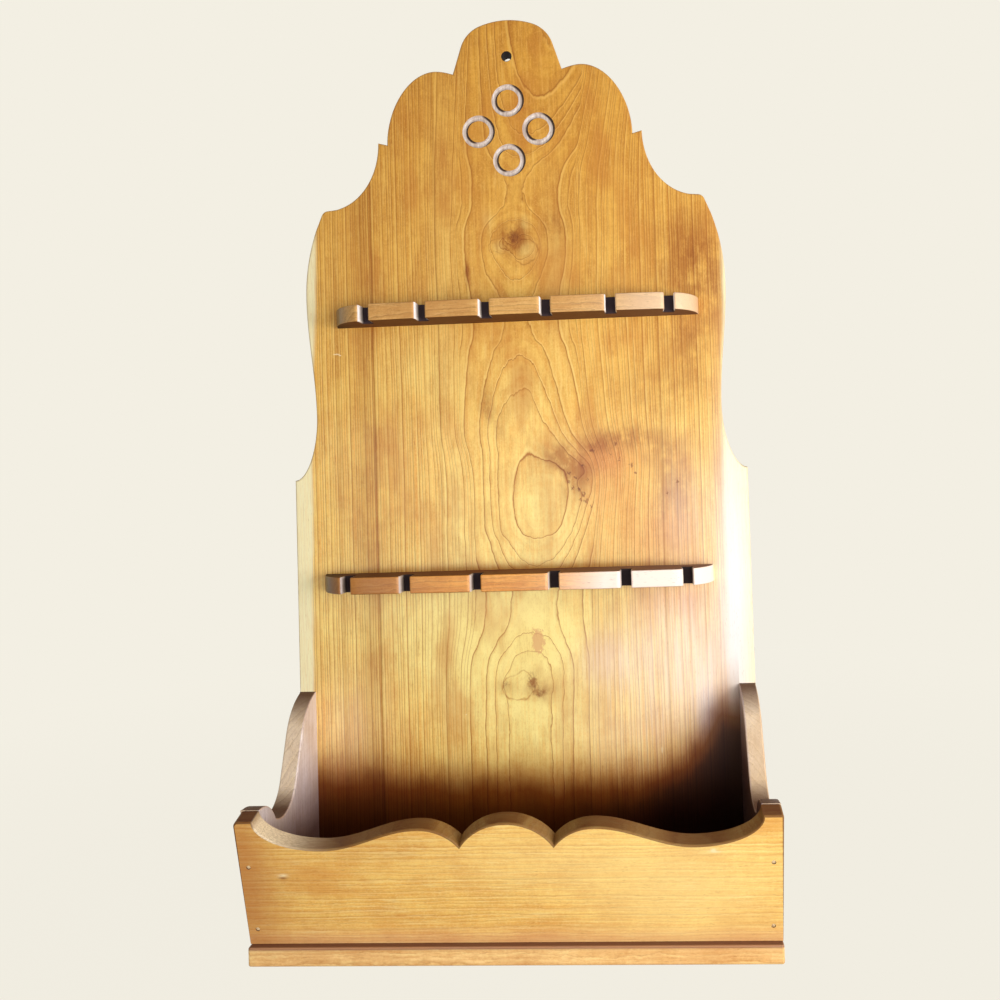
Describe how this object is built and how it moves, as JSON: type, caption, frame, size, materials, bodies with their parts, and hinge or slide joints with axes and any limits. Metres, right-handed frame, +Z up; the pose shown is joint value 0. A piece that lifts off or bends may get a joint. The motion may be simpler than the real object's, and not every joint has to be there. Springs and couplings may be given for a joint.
{
  "type": "wall spoon rack",
  "caption": "Wooden wall spoon rack: a scroll-topped back board with a hanging hole, slotted spoon rails and an open tray with a leaning, scroll-cut front.",
  "frame": {"origin": "centre of the bounding box's bottom, on the surface that the tray's floor board stands on", "axes": "+X to the viewer's right, +Y from the front towards the wall, +Z up"},
  "size_m": [0.305, 0.1158, 0.5861],
  "materials": {
    "board_wood": "clear gloss varnish on honey-brown wood with strong grain",
    "rail_wood": "clear gloss varnish on redder straight-grained wood",
    "screw_steel": "dull zinc-plated screw heads",
    "brad_steel": "dulled brad heads under varnish"
  },
  "bodies": {
    "root": {"back_board": "board_wood", "upper_rail": "rail_wood", "lower_rail": "rail_wood", "side_left": "board_wood", "side_right": "board_wood", "front_board": "board_wood", "floor_board": "board_wood", "upper_rail_screws": "screw_steel", "lower_rail_screws": "screw_steel", "side_screws_left": "screw_steel", "side_screws_right": "screw_steel", "floor_screws": "screw_steel", "front_brads_left": "brad_steel", "front_brads_right": "brad_steel", "floor_brads_left": "brad_steel", "floor_brads_right": "brad_steel", "foot_brads": "brad_steel"}
  },
  "joints": []
}
